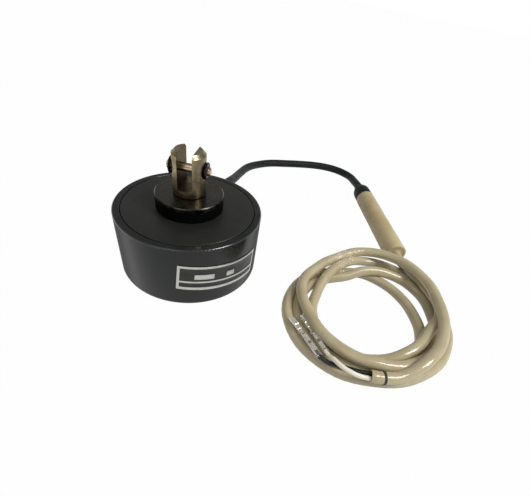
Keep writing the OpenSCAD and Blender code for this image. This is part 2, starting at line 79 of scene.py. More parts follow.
# %% [markdown]
# ## The black lead
#
# A stiff rubber lead leaves the back of the case through a grommet and comes down to the surface, where it
# turns round to the splice. A cord is best made as a curve with a round bevel: the line stays easy to change,
# and its length can be measured. The bevel is one unit deep and each point carries the cord's radius, which
# scales it. The points follow the CAD tube, in mm, with a wide turn before the splice.

# %% Lay the lead
def lay_cord(name, route, diameter, rings_between=8):
    """A round cord on one smooth line through the route's points, which are in mm."""
    line = bpy.data.curves.new(name, "CURVE")
    line.dimensions = "3D"
    line.bevel_depth = 1.0
    line.bevel_resolution = 5
    line.resolution_u = rings_between
    line.use_fill_caps = True
    spline = line.splines.new("BEZIER")
    spline.bezier_points.add(len(route) - 1)
    for point, place in zip(spline.bezier_points, route):
        point.co = Vector(place) * MM
        point.radius = diameter / 2 * MM
        point.handle_left_type = point.handle_right_type = "AUTO"
    cord = bpy.data.objects.new(name, line)
    bpy.context.scene.collection.objects.link(cord)
    print(name, "points:", len(route), "length in m:", round(spline.calc_length(), 4))
    return cord


LEAD_D = 7.5
LEAD_ANGLE = math.radians(85)
LEAD_HEIGHT = 24


def out_of_case(radius):
    """A point on the straight line along which the lead leaves the case."""
    return (radius * math.cos(LEAD_ANGLE), radius * math.sin(LEAD_ANGLE), LEAD_HEIGHT)


SLEEVE_BACK = Vector((136, 133, 8.25))
SLEEVE_YAW = math.radians(-79)
SLEEVE_WAY = Vector((math.cos(SLEEVE_YAW), math.sin(SLEEVE_YAW), 0))
lead_route = [out_of_case(45), out_of_case(55), out_of_case(65), (8, 78, 22), (9.5, 97, 17), (11, 120, 12),
              (15.5, 146, 8), (24, 164, 5), (36.5, 176, 4), (50.5, 182, 4), (72, 190, 4), (87, 194, 4),
              (100, 195, 4), (110.9, 193, 4), (120.3, 187, 4.3), (126.6, 178, 5.2), (129.5, 167, 6.4),
              SLEEVE_BACK - 20 * SLEEVE_WAY, SLEEVE_BACK - 11 * SLEEVE_WAY]
black_lead = lay_cord("black_lead", lead_route, LEAD_D)
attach(black_lead, "housing")
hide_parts("lead_cable")

# %% [markdown]
# ## The coiled cord
#
# The beige cord comes out of the sleeve, drops on the turns that lie there and goes round clockwise nearly
# four and a half times before it ends on top, at the front. Hand-laid turns cross: a strand is on the floor
# on one side and on top of two others on the opposite side. A perfect spiral would look machine-made, so the
# radius and the height are written down for every 30 degrees of each turn. Wherever strands cross or lie
# side by side they are about a diameter apart, so they touch and hardly press into each other.

# %% Lay the coil
CORD_D = 6.9
COIL_MIDDLE = Vector((124, -15, 0))
KEY_STEP = 30
coil_turns = [
    # over the bundle at the right, then down and hidden at the front, and the inner strand at the left
    ([49, 48.2, 41.4, 43.4, 45.6, 46.6, 40.8, 33, 30.6, 32.8, 43, 50.4],
     [10.6, 10.8, 10.7, 10.4, 4.6, 3.6, 3.6, 5.5, 9.8, 10.4, 5.8, 3.8]),
    # the outermost strand, on the floor, which slips under the others at the back
    ([53.6, 54, 55, 55.6, 57.6, 60.2, 57.2, 48.9, 39, 31.2, 30.5, 29.3],
     [3.7, 3.6, 3.55, 3.55, 3.55, 3.55, 3.55, 3.55, 3.55, 3.55, 3.55, 3.55]),
    # the inner strand at the right, which goes under the bundle and comes out beside the outermost one
    ([30, 33, 39.5, 48.4, 51.5, 53.6, 50.4, 42, 31.8, 24.8, 27, 34],
     [3.55, 3.55, 3.55, 3.55, 3.6, 3.55, 3.55, 3.55, 3.6, 6.0, 9.4, 9.2]),
    # the strand on top at the front and at the left, which ends up on top of all others at the right
    ([46.2, 46.4, 46.9, 50.6, 51.6, 49.9, 45.7, 44.4, 39.4, 40.5, 47.2, 47.4],
     [4.1, 3.9, 6.2, 9.4, 10.6, 10.5, 10.4, 10.4, 10.8, 10.2, 11.6, 15.4]),
    # over the bundle to the cord's end
    ([45, 43.8, 47.6, 53.6],
     [17.3, 17.4, 16.2, 15.6]),
]
SLEEVE_END = 92.0
SLEEVE_FRONT = SLEEVE_BACK + SLEEVE_END * SLEEVE_WAY
cord_route = [SLEEVE_FRONT - 12 * SLEEVE_WAY, SLEEVE_FRONT,
              (154.9, 36, 8.3), (156.8, 29.5, 9.3), (160, 22.5, 10.2)]
angle = KEY_STEP
for radii, heights in coil_turns:
    for radius, height in zip(radii, heights):
        spoke = Vector((math.cos(math.radians(angle)), math.sin(math.radians(angle)), 0))
        cord_route.append(COIL_MIDDLE + radius * spoke + Vector((0, 0, height)))
        angle -= KEY_STEP
CORD_END = Vector((118.63, -74.88, 10.65))
CORD_WAY = Vector((-1.0, 0.017, 0))
END_DEPTH = 1.8
cord_route += [Vector((135.2, -72.1, 10.65)), Vector((125.7, -74.5, 10.65)), CORD_END - END_DEPTH * CORD_WAY]
coiled_cord = lay_cord("coiled_cord", cord_route, CORD_D, 6)
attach(coiled_cord, "housing")
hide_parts("cord_entry", "cable_coil", "cord_tail")

# %% [markdown]
# ## The two wires
#
# Where the sheath ends, the two cores come out side by side, and the white one crosses over the black one on
# the way to the contacts. They start a little way inside the sheath and end inside the crimps, so no end of
# a wire is in the open. The same helper lays them.

# %% Lay the wires
WIRE_D = 2.6
BLACK_CRIMP, BLACK_YAW = Vector((92, -68, 9.2)), math.radians(127)
WHITE_CRIMP, WHITE_YAW = Vector((96.5, -66, 9.2)), math.radians(123)


def into_crimp(place, yaw, depth=3):
    """A point inside a crimp, a depth in mm behind its mouth."""
    return place + depth * Vector((math.cos(yaw), math.sin(yaw), 0))


IN_SHEATH = 4
black_start = Vector((118.65, -73.38, 10.65))
white_start = Vector((118.60, -76.38, 10.65))
wire_black = lay_cord("black_wire", [
    black_start - IN_SHEATH * CORD_WAY, black_start, (113, -73, 9.8), (108, -71.8, 8.8), (103, -71, 8.4),
    (97.5, -70.4, 8.4), BLACK_CRIMP, into_crimp(BLACK_CRIMP, BLACK_YAW)], WIRE_D)
wire_white = lay_cord("white_wire", [
    white_start - IN_SHEATH * CORD_WAY, white_start, (113, -76.4, 11), (108, -75.6, 11.8), (103, -73.4, 12.2),
    (99.5, -70.2, 11.8), WHITE_CRIMP, into_crimp(WHITE_CRIMP, WHITE_YAW)], WIRE_D)
for wire, colour in [(wire_black, "black"), (wire_white, "white")]:
    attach(wire, "housing")
    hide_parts("wire_" + colour)

# %% [markdown]
# ## Tools for meshes
#
# The small pieces are modelled with the same few steps: add a simple form, cut it with planes, pick faces or
# corners by where they are, inset and extrude them, and break the sharp edges at the end. Each step is a
# function here. A piece is finished with its place in its own mesh, so settle moves it and applies that.
# What is within NEAR of a plane, in mm, counts as on it.

# %% Define the mesh tools
NEAR = 0.01


def new_piece(name):
    """Gives the piece that was just added its name."""
    piece = bpy.context.object
    piece.name = piece.data.name = name
    return piece


def take(piece):
    """Selects one piece alone and makes it the active one."""
    bpy.ops.object.select_all(action="DESELECT")
    piece.select_set(True)
    bpy.context.view_layer.objects.active = piece


def settle(piece, place=(0, 0, 0), turn=(0, 0, 0)):
    """Moves and turns a piece, then puts that into its mesh, so the object is back at the origin."""
    piece.location = Vector(place) * MM
    piece.rotation_euler = turn
    bpy.ops.object.transform_apply(location=True, rotation=True, scale=True)


def cut(place, normal):
    """In edit mode, cuts the whole mesh along a plane through a place in mm."""
    bpy.ops.mesh.select_all(action="SELECT")
    bpy.ops.mesh.bisect(plane_co=Vector(place) * MM, plane_no=normal)


def pick_faces(piece, wanted):
    """In edit mode, selects the faces whose middle, in mm, passes a test."""
    bpy.ops.mesh.select_mode(type="FACE")
    bpy.ops.mesh.select_all(action="DESELECT")
    bpy.ops.object.mode_set(mode="OBJECT")
    for face in piece.data.polygons:
        face.select = bool(wanted(face.center / MM))
    bpy.ops.object.mode_set(mode="EDIT")


def draw_out(way, wall=0.0):
    """In edit mode, insets the picked faces by a wall and extrudes them, both in mm."""
    if wall:
        bpy.ops.mesh.inset(thickness=wall * MM)
    bpy.ops.mesh.extrude_region_move(TRANSFORM_OT_translate={"value": Vector(way) * MM})


def give_slots(piece):
    """Adds two empty slots for finishes. All faces start with the first one."""
    for empty_slot in range(2):
        piece.data.materials.append(None)


def mark_picked(piece):
    """In edit mode, gives the picked faces the second finish."""
    piece.active_material_index = 1
    bpy.ops.object.material_slot_assign()


def run(piece, kind, **settings):
    """Adds a modifier with its settings and applies it."""
    modifier = piece.modifiers.new(kind.lower(), kind)
    for setting, value in settings.items():
        setattr(modifier, setting, value)
    bpy.ops.object.modifier_apply(modifier=modifier.name)


def break_edges(piece, width, segments=2, sharp=40, smooth=35):
    """Bevels sharp edges by a width in mm and shades smooth. Both angles are in degrees."""
    run(piece, "BEVEL", width=width * MM, segments=segments, limit_method="ANGLE",
        angle_limit=math.radians(sharp))
    bpy.ops.object.shade_smooth_by_angle(angle=math.radians(smooth))


# %% [markdown]
# ## The rating plate
#
# A strip of thin metal is glued round the wall of the case, a little askew. Its border, one line and two blank
# fields are bare metal, the rest is etched away and dark. A picture could be painted on the wall, but the real
# edges stand proud and catch the light. So a flat grid is cut along the lines with bisect, the bare faces are
# extruded, and a Simple Deform modifier bends the finished strip to the radius of the wall.

# %% Cut, raise and bend the rating plate
PLATE_W, PLATE_H, PLATE_T = 54.0, 17.9, 0.25
PLATE_RISE = 0.12
PLATE_BORDER, PLATE_FOOT = 1.6, 2.0
PLATE_LINE = (5.5, 6.75)
FIELD_ROW = (8.4, 11.9)
FIELDS = [(9.9, 21.4), (29.5, 34.8)]
PLATE_TURN = math.radians(5.1)
PLATE_AZIMUTH = math.radians(-48.5)
PLATE_MIDDLE_Z = 21.3
CASE_R = 45.0


def is_bare(middle):
    """Tells the border, the line and the fields from the etched ground."""
    in_width = PLATE_BORDER < middle.x < PLATE_W - PLATE_BORDER
    in_height = PLATE_FOOT < middle.z < PLATE_H - PLATE_BORDER
    on_line = PLATE_LINE[0] < middle.z < PLATE_LINE[1]
    in_field = FIELD_ROW[0] < middle.z < FIELD_ROW[1] and any(a < middle.x < b for a, b in FIELDS)
    return not (in_width and in_height) or on_line or in_field


bpy.ops.object.select_all(action="DESELECT")
bpy.ops.mesh.primitive_grid_add(x_subdivisions=36, y_subdivisions=1, size=1)
rating_plate = new_piece("rating_plate")
rating_plate.scale = (PLATE_W * MM, PLATE_H * MM, 1)
settle(rating_plate, (PLATE_W / 2, 0, PLATE_H / 2), (math.pi / 2, 0, 0))
give_slots(rating_plate)
bpy.ops.object.mode_set(mode="EDIT")
for across in [PLATE_BORDER, PLATE_W - PLATE_BORDER] + [edge for field in FIELDS for edge in field]:
    cut((across, 0, 0), (1, 0, 0))
for up in [PLATE_FOOT, PLATE_H - PLATE_BORDER] + list(PLATE_LINE) + list(FIELD_ROW):
    cut((0, 0, up), (0, 0, 1))
pick_faces(rating_plate, is_bare)
mark_picked(rating_plate)
draw_out((0, -PLATE_RISE, 0))
bpy.ops.object.mode_set(mode="OBJECT")
settle(rating_plate, (-PLATE_W / 2, 0, -PLATE_H / 2))
settle(rating_plate, turn=(0, PLATE_TURN, 0))
plate_span = [corner.co.x for corner in rating_plate.data.vertices]
run(rating_plate, "SIMPLE_DEFORM", deform_method="BEND", deform_axis="Z",
    angle=(max(plate_span) - min(plate_span)) / ((CASE_R + PLATE_T) * MM))
settle(rating_plate, (0, -CASE_R - PLATE_T, PLATE_MIDDLE_Z))
settle(rating_plate, turn=(0, 0, math.pi / 2 + PLATE_AZIMUTH))
run(rating_plate, "SOLIDIFY", thickness=PLATE_T * MM, offset=-1)
break_edges(rating_plate, 0.04, smooth=30)
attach(rating_plate, "housing")
print("rating_plate faces:", len(rating_plate.data.polygons), "out to mm:",
      round(max(corner.co.xy.length for corner in rating_plate.data.vertices) / MM, 2))

# %% [markdown]
# ## Painted shade in the groove
#
# Between the rim of the case and the front plate runs a narrow groove. A black ring is laid in it as painted
# shade, so the groove reads as a dark line. It is a ring with a round section, so a small circle is set upright
# at the groove's radius and spun once about the axis. The last copy meets the first, so the doubled ring of
# corners is merged before the normals are made to point outwards. The ring sits just below the face of the
# plate.

# %% Spin the painted groove shade
GROOVE_R = 40.5
SHADE_RING_D = 0.76
SHADE_RING_TOP = 42.86
# painted shade: a black ring that fills the groove so it reads dark
bpy.ops.object.select_all(action="DESELECT")
bpy.ops.mesh.primitive_circle_add(vertices=12, radius=SHADE_RING_D / 2 * MM)
groove_shade_ring = new_piece("groove_shade_ring")
settle(groove_shade_ring, (GROOVE_R, 0, SHADE_RING_TOP - SHADE_RING_D / 2), (math.pi / 2, 0, 0))
bpy.ops.object.mode_set(mode="EDIT")
bpy.ops.mesh.select_all(action="SELECT")
bpy.ops.mesh.spin(steps=120, angle=2 * math.pi, center=(0, 0, 0), axis=(0, 0, 1))
bpy.ops.mesh.select_all(action="SELECT")
bpy.ops.mesh.remove_doubles(threshold=NEAR * MM)
bpy.ops.mesh.normals_make_consistent(inside=False)
bpy.ops.object.mode_set(mode="OBJECT")
bpy.ops.object.shade_smooth()
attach(groove_shade_ring, "housing")
print("groove_shade_ring faces:", len(groove_shade_ring.data.polygons))

# %% [markdown]
# ## The cut end of the sheath
#
# The sheath is a tube, and where it was cut its wall shows round the two wires. A curve ends in a flat cap, so
# the last bit is a mesh of its own: a cylinder whose end face is inset by the wall's thickness and pushed in.
# The faces inside get a second, dark finish for the filler between the wires.

# %% Hollow the cut end
SHEATH_WALL = 0.75
END_PROUD = 0.02
HOLLOW_R = CORD_D / 2 - SHEATH_WALL
bpy.ops.object.select_all(action="DESELECT")
bpy.ops.mesh.primitive_cylinder_add(vertices=40, radius=(CORD_D / 2 + END_PROUD) * MM,
                                    depth=2 * END_DEPTH * MM)
sheath_end = new_piece("sheath_end")
settle(sheath_end, (-END_DEPTH, 0, 0), (0, math.pi / 2, 0))
give_slots(sheath_end)
bpy.ops.object.mode_set(mode="EDIT")
pick_faces(sheath_end, lambda middle: middle.x > -NEAR)
draw_out((-END_DEPTH, 0, 0), SHEATH_WALL)
pick_faces(sheath_end, lambda middle: middle.x > -END_DEPTH - NEAR and middle.yz.length < HOLLOW_R + NEAR)
mark_picked(sheath_end)
bpy.ops.object.mode_set(mode="OBJECT")
break_edges(sheath_end, 0.15, segments=3)
settle(sheath_end, CORD_END, (0, 0, math.atan2(CORD_WAY.y, CORD_WAY.x)))
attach(sheath_end, "housing")
print("sheath_end faces:", len(sheath_end.data.polygons))

# %% [markdown]
# ## The boot and the sleeve of the splice
#
# The lead ends in a moulded boot, and a soft sleeve is pulled over the joint with the beige cord. Soft tube is
# never quite straight-sided. Each piece is a cylinder that is cut across at several places, and every ring of
# corners is then brought to its own radius with a resize about the axis. The ends of the sleeve are inset by
# its wall and pushed in: far at the boot, and only a little at the cord, where it is filled.

# %% Shape the boot and the sleeve
SLEEVE_START = 5.2
SLEEVE_WALL = 1.5
BOOT_SIDE_DEPTH, CORD_SIDE_DEPTH = 5.0, 0.5


def pick_corners(piece, wanted):
    """In edit mode, selects the corners whose place, in mm, passes a test."""
    bpy.ops.mesh.select_mode(type="VERT")
    bpy.ops.mesh.select_all(action="DESELECT")
    bpy.ops.object.mode_set(mode="OBJECT")
    for corner in piece.data.vertices:
        corner.select = bool(wanted(corner.co / MM))
    bpy.ops.object.mode_set(mode="EDIT")


def shape_tube(name, rings):
    """A tube along X whose rings, each (place along, radius), are in mm."""
    start, end = rings[0][0], rings[-1][0]
    bpy.ops.object.select_all(action="DESELECT")
    bpy.ops.mesh.primitive_cylinder_add(vertices=48, radius=MM, depth=(end - start) * MM)
    tube = new_piece(name)
    settle(tube, ((start + end) / 2, 0, 0), (0, math.pi / 2, 0))
    bpy.ops.object.mode_set(mode="EDIT")
    for along, radius in rings[1:-1]:
        cut((along, 0, 0), (1, 0, 0))
    for along, radius in rings:
        pick_corners(tube, lambda place: abs(place.x - along) < NEAR)
        bpy.ops.transform.resize(value=(1, radius, radius), center_override=(along * MM, 0, 0))
    bpy.ops.object.mode_set(mode="OBJECT")
    return tube


moulded_boot = shape_tube("moulded_boot", [
    (-17, 4.4), (-16.6, 4.65), (-12.5, 4.7), (-11.6, 5.0), (-10.8, 6.1), (-9.4, 7.2), (-7, 7.8), (-2, 7.9),
    (5, 7.8), (5.6, 6.5), (12, 6.4)])
soft_sleeve = shape_tube("soft_sleeve", [
    (SLEEVE_START, 8.1), (11, 8.22), (20, 8.1), (31, 8.22), (43, 8.06), (55, 8.2), (66, 8.12), (78, 8.24),
    (86, 8.15), (SLEEVE_END, 8.2)])
bpy.ops.object.mode_set(mode="EDIT")
for way, end in [(BOOT_SIDE_DEPTH, SLEEVE_START), (-CORD_SIDE_DEPTH, SLEEVE_END)]:
    pick_faces(soft_sleeve, lambda middle: abs(middle.x - end) < NEAR)
    draw_out((way, 0, 0), SLEEVE_WALL)
bpy.ops.object.mode_set(mode="OBJECT")
for tube, node, slot in [(moulded_boot, "splice_boot", "lead_rubber"),
                         (soft_sleeve, "splice_sleeve", "beige_sleeve")]:
    take(tube)
    break_edges(tube, 0.25, sharp=50, smooth=45)
    settle(tube, SLEEVE_BACK, (0, 0, SLEEVE_YAW))
    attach(tube, "housing")
    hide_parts(node)
    print(tube.name, "faces:", len(tube.data.polygons), "lowest mm:",
          round(min(corner.co.z for corner in tube.data.vertices) / MM, 2))

# %% [markdown]
# ## The contacts
#
# Each wire ends in a contact that is stamped from thin sheet and folded: a flat socket with a seam along its
# top, a raised spring, a narrow neck, and a crimp whose wings are closed in two places and open between them.
# The socket comes first. A box is cut where something changes, and the mouth, the seam, the spring and the
# windows in its sides are picked faces that are inset and extruded. The seam ends short of the mouth and of
# the neck: a groove that ran out at the end would leave a wall without thickness there.

# %% Fold the socket
CRIMP_L, NECK_L, SOCKET_L = 16.6, 2.9, 9.5
SOCKET_W, SOCKET_H, SHEET = 2.8, 1.8, 0.32
SOCKET_BACK = CRIMP_L + NECK_L
SOCKET_FRONT = SOCKET_BACK + SOCKET_L
SOCKET_TOP = SOCKET_H / 2
SOCKET_DEPTH = 5
SEAM, SEAM_DEPTH = 0.14, 0.2
SEAM_SPAN = (20.2, 28.6)
SPRING = (22.6, 25.2)
SPRING_RISE, SPRING_INSET, SPRING_TAPER = 0.45, 0.15, 0.6
WINDOW = (25.8, 27.6)
WINDOW_INSET, WINDOW_DEPTH = 0.3, 0.25
NECK_SLOPE_L, NECK_SLOPE_DROP = 0.26, 0.19

bpy.ops.object.select_all(action="DESELECT")
bpy.ops.mesh.primitive_cube_add(size=1)
contact_black = new_piece("contact_black")
contact_black.scale = (SOCKET_L * MM, SOCKET_W * MM, SOCKET_H * MM)
settle(contact_black, (SOCKET_BACK + SOCKET_L / 2, 0, 0))
give_slots(contact_black)
bpy.ops.object.mode_set(mode="EDIT")
for along in SPRING + WINDOW + SEAM_SPAN + (SOCKET_BACK + NECK_SLOPE_L,):
    cut((along, 0, 0), (1, 0, 0))
for across in (-SEAM, SEAM):
    cut((0, across, 0), (0, 1, 0))
pick_faces(contact_black, lambda m: m.x > SOCKET_FRONT - NEAR)
draw_out((-SOCKET_DEPTH, 0, 0), SHEET)
pick_faces(contact_black, lambda m: m.z > SOCKET_TOP - NEAR and abs(m.y) < SEAM
           and SEAM_SPAN[0] < m.x < SEAM_SPAN[1])
draw_out((0, 0, -SEAM_DEPTH))
pick_faces(contact_black, lambda m: m.z > SOCKET_TOP - NEAR and abs(m.y) > SEAM
           and SPRING[0] < m.x < SPRING[1])
draw_out((0, 0, SPRING_RISE), SPRING_INSET)
bpy.ops.transform.resize(value=(SPRING_TAPER, 1, 1), center_override=(sum(SPRING) / 2 * MM, 0, 0))
pick_faces(contact_black, lambda m: WINDOW[0] < m.x < WINDOW[1] and abs(m.y) > SOCKET_W / 2 - NEAR)
bpy.ops.mesh.inset(thickness=WINDOW_INSET * MM, depth=-WINDOW_DEPTH * MM, use_individual=True)
bpy.ops.object.mode_set(mode="OBJECT")
print("socket faces:", len(contact_black.data.polygons))

# %% [markdown]
# ## Neck and crimp
#
# The neck and the crimp grow out of the back of the socket. The edge over the neck is pushed down to a slope
# that catches the lamp. The top of the crimp is cut into cells, the open ones are hollowed, and their floors
# get a second, darker finish, which is painted shade. The second contact is a copy with a mesh of its own, so
# each can be settled at the end of its own wire.

# %% Grow the crimp and place both contacts
CRIMP_W, CRIMP_H = 2.7, 2.0
NECK_STEP, FLARE_L = 0.4, 0.6
OPEN_CELLS = [(0.0, 4.4), (8.4, 11.0), (15.0, CRIMP_L)]
CELL_DEPTH = 1.4

bpy.ops.object.mode_set(mode="EDIT")
pick_faces(contact_black, lambda m: m.x < SOCKET_BACK + NEAR)
draw_out((FLARE_L - NECK_L, 0, 0), NECK_STEP)
draw_out((-FLARE_L, 0, 0))
bpy.ops.transform.resize(value=(1, CRIMP_W / (SOCKET_W - 2 * NECK_STEP), CRIMP_H / (SOCKET_H - 2 * NECK_STEP)),
                         center_override=(CRIMP_L * MM, 0, 0))
draw_out((-CRIMP_L, 0, 0))
pick_corners(contact_black, lambda c: abs(c.x - SOCKET_BACK) < NEAR and c.z > SOCKET_TOP - NEAR)
bpy.ops.transform.translate(value=(0, 0, -NECK_SLOPE_DROP * MM))
cell_edges = [edge for cell in OPEN_CELLS for edge in cell]
for along in cell_edges[1:-1]:
    cut((along, 0, 0), (1, 0, 0))
pick_faces(contact_black, lambda m: m.z > CRIMP_H / 2 - NEAR and any(a < m.x < b for a, b in OPEN_CELLS))
draw_out((0, 0, -CELL_DEPTH), SHEET)
mark_picked(contact_black)
bpy.ops.object.mode_set(mode="OBJECT")
break_edges(contact_black, 0.09)
bpy.ops.object.duplicate(linked=False)
contact_white = new_piece("contact_white")
for contact, colour, crimp, yaw in [(contact_black, "black", BLACK_CRIMP, BLACK_YAW),
                                    (contact_white, "white", WHITE_CRIMP, WHITE_YAW)]:
    take(contact)
    settle(contact, crimp, (0, 0, yaw))
    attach(contact, "housing")
    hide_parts("terminal_" + colour)
    print(contact.name, "faces:", len(contact.data.polygons))

# %% [markdown]
# ## The retaining rings
#
# Two open rings of spring steel snap into grooves of the pin and keep it in the fork. They are punched flat, so
# the section is a rectangle. It is set up beside the ring's mouth and spun about the pin, the long way round.
# Both ends of the spin keep their face, so the ring is closed, and a bevel breaks its punched edges.

# %% Spin the retaining rings
RING_IN, RING_OUT, RING_T = 2.2, 4.9, 0.9
RING_PLACE = 10.5
PIN_HEIGHT = 67.4
MOUTH = math.radians(24)
MOUTH_TURN = math.radians(15)
mouth_way = Vector((0, math.sin(MOUTH_TURN), -math.cos(MOUTH_TURN)))
for side, along in [("left", -RING_PLACE), ("right", RING_PLACE)]:
    bpy.ops.object.select_all(action="DESELECT")
    bpy.ops.mesh.primitive_plane_add(size=1)
    ring = new_piece("snap_ring_" + side)
    ring.scale = (RING_T * MM, (RING_OUT - RING_IN) * MM, 1)
    settle(ring, (along, 0, -(RING_IN + RING_OUT) / 2), (math.pi / 2, 0, 0))
    settle(ring, turn=(MOUTH_TURN + MOUTH / 2, 0, 0))
    bpy.ops.object.mode_set(mode="EDIT")
    bpy.ops.mesh.select_all(action="SELECT")
    bpy.ops.mesh.spin(steps=48, angle=2 * math.pi - MOUTH, center=(0, 0, 0), axis=(1, 0, 0))
    bpy.ops.mesh.select_all(action="SELECT")
    bpy.ops.mesh.normals_make_consistent(inside=False)
    bpy.ops.object.mode_set(mode="OBJECT")
    clear = min(math.degrees(mouth_way.angle(Vector((0, corner.co.y, corner.co.z))))
                for corner in ring.data.vertices)
    break_edges(ring, 0.1)
    settle(ring, (0, 0, PIN_HEIGHT))
    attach(ring, "cross_pin")
    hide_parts("retaining_ring_" + side)
    print(ring.name, "faces:", len(ring.data.polygons), "mouth clear for degrees each way:", round(clear, 1))

# %% [markdown]
# ## The floor
#
# The solenoid stands on a white surface. The floor adds white of its own for the camera, for reflections and
# behind clear plastic, which keeps it white and leaves a faint shadow. It lies a little below the part. The
# helper makes one Math node, since several materials need them.

# %% Make the floor
FLOOR_HALF = 12.0
FLOOR_DROP = 0.2
FLOOR_GREY = 0.45
FLOOR_WHITE = 0.985


def math_node(tree, operation, *values):
    """A Math node on numbers or on outputs of other nodes. Returns its own output."""
    node = tree.nodes.new("ShaderNodeMath")
    node.operation = operation
    for socket, value in zip(node.inputs, values):
        if isinstance(value, float):
            socket.default_value = value
        else:
            tree.links.new(value, socket)
    return node.outputs[0]


bpy.ops.object.select_all(action="DESELECT")
bpy.ops.mesh.primitive_plane_add(size=2 * FLOOR_HALF, location=(0, 0, -FLOOR_DROP * MM))
floor = bpy.context.object
floor.name = "white_floor"

floor_paint = bpy.data.materials.new("white_floor")
floor_paint.use_nodes = True
tree = floor_paint.node_tree
tree.nodes.remove(tree.nodes["Principled BSDF"])
matt_white = tree.nodes.new("ShaderNodeBsdfDiffuse")
matt_white.inputs["Color"].default_value = (FLOOR_GREY, FLOOR_GREY, FLOOR_GREY, 1)
own_white = tree.nodes.new("ShaderNodeEmission")
own_white.inputs["Strength"].default_value = 1.0
ray = tree.nodes.new("ShaderNodeLightPath").outputs
seen_or_mirrored = math_node(tree, "MAXIMUM", ray["Is Camera Ray"], ray["Is Glossy Ray"])
seen_at_all = math_node(tree, "MAXIMUM", seen_or_mirrored, ray["Is Transmission Ray"])
floor_mix = tree.nodes.new("ShaderNodeMixShader")
for start, end in [
        (math_node(tree, "MULTIPLY", seen_at_all, FLOOR_WHITE), floor_mix.inputs[0]),
        (matt_white.outputs[0], floor_mix.inputs[1]),
        (own_white.outputs[0], floor_mix.inputs[2]),
        (floor_mix.outputs[0], tree.nodes["Material Output"].inputs["Surface"])]:
    tree.links.new(start, end)
floor.data.materials.append(floor_paint)
print("floor lies below the part by mm:", FLOOR_DROP)

# %% [markdown]
# ## World and lamps
#
# The glints on the edges show one tall lamp on the right, 30 to 60 degrees up, and the rest of the light is
# soft. So there is a lamp there, a large pale one in front, and a world that is white along the horizon and
# grey higher up, though white all over for the camera.

# %% Light the scene
LAMP_AIM = Vector((0.06, 0.0, 0.03))


def coordinate(tree, place, axis):
    """One of the three numbers of a place."""
    parts = tree.nodes.new("ShaderNodeSeparateXYZ")
    tree.links.new(place, parts.inputs["Vector"])
    return parts.outputs[axis]


def ranged(tree, pattern, low, high, from_low=0.3, from_high=0.7):
    """A pattern that is spread between two values."""
    node = tree.nodes.new("ShaderNodeMapRange")
    for name, value in [("From Min", from_low), ("From Max", from_high), ("To Min", low), ("To Max", high)]:
        node.inputs[name].default_value = value
    tree.links.new(pattern, node.inputs["Value"])
    return node.outputs["Result"]


def hang_lamp(name, direction, distance, width, height, power):
    """A lamp with a soft box that looks at the solenoid from a direction. Its sizes are in metres."""
    data = bpy.data.lights.new(name, "AREA")
    data.shape = "RECTANGLE"
    data.size = width
    data.size_y = height
    data.energy = power
    lamp = bpy.data.objects.new(name, data)
    lamp.location = LAMP_AIM + Vector(direction).normalized() * distance
    lamp.rotation_euler = Vector(direction).to_track_quat("Z", "Y").to_euler()
    bpy.context.scene.collection.objects.link(lamp)


world = bpy.data.worlds.new("pale_room")
world.use_nodes = True
room = world.node_tree
background = room.nodes["Background"].inputs
background["Color"].default_value = (1.0, 1.0, 1.0, 1)
upwards = coordinate(room, room.nodes.new("ShaderNodeTexCoord").outputs["Generated"], "Z")
fade = ranged(room, upwards, 1.0, 0.3, from_low=0.07, from_high=0.34)
ray = room.nodes.new("ShaderNodeLightPath").outputs
room.links.new(math_node(room, "MAXIMUM", fade, ray["Is Camera Ray"]), background["Strength"])
bpy.context.scene.world = world
bpy.context.scene.view_settings.view_transform = "Standard"
hang_lamp("right_lamp", (0.65, -0.16, 0.74), distance=1.1, width=0.3, height=0.62, power=9.0)
hang_lamp("front_lamp", (-0.25, -0.55, 0.80), distance=1.3, width=0.9, height=0.9, power=2.5)

# %% [markdown]
# ## Patterns for finishes
#
# What varies over a surface comes from noise or wave patterns that read Object coordinates. These are metres
# here, so the grain has its real size in mm. Every finish starts from the same shader, and its plain values
# are set on the shader's own sockets.

# %% Define the patterns
def start_finish(name, **sockets):
    """A new finish: returns its material, node tree, shader and Object coordinates."""
    material = bpy.data.materials.new(name)
    material.use_nodes = True
    tree = material.node_tree
    shader = tree.nodes["Principled BSDF"]
    for socket, value in sockets.items():
        shader.inputs[socket.replace("_", " ")].default_value = value
    return material, tree, shader, tree.nodes.new("ShaderNodeTexCoord").outputs["Object"]


def blots(tree, place, size, detail=3.0, rough=0.55):
    """Cloudy noise with blots of about this size in mm."""
    noise = tree.nodes.new("ShaderNodeTexNoise")
    noise.inputs["Scale"].default_value = 1 / (size * MM)
    noise.inputs["Detail"].default_value = detail
    noise.inputs["Roughness"].default_value = rough
    tree.links.new(place, noise.inputs["Vector"])
    return noise.outputs["Fac"]


def lines(tree, place, pitch, kind="BANDS", wobble=0.0):
    """Fine parallel bands along Z, or rings about it, with this pitch in mm."""
    wave = tree.nodes.new("ShaderNodeTexWave")
    wave.wave_type = kind
    wave.bands_direction = wave.rings_direction = "Z"
    wave.inputs["Scale"].default_value = 2 * math.pi / 20 / (pitch * MM)
    wave.inputs["Distortion"].default_value = wobble
    wave.inputs["Detail"].default_value = 2.0
    tree.links.new(place, wave.inputs["Vector"])
    return wave.outputs["Fac"]


def stretched(tree, place, scale):
    """The place, stretched or squeezed along X, Y and Z."""
    mapping = tree.nodes.new("ShaderNodeMapping")
    mapping.inputs["Scale"].default_value = scale
    tree.links.new(place, mapping.inputs["Vector"])
    return mapping.outputs["Vector"]


def axis_distance(tree, place):
    """The distance from the solenoid's axis."""
    length = tree.nodes.new("ShaderNodeVectorMath")
    length.operation = "LENGTH"
    tree.links.new(stretched(tree, place, (1, 1, 0)), length.inputs[0])
    return length.outputs["Value"]


# %% [markdown]
# ## From a pattern to a finish
#
# A pattern is a number between 0 and 1. It can be run through colours, spread between two values of the
# roughness, or used as the height of a bump. The colours are given as they are read off a screen.

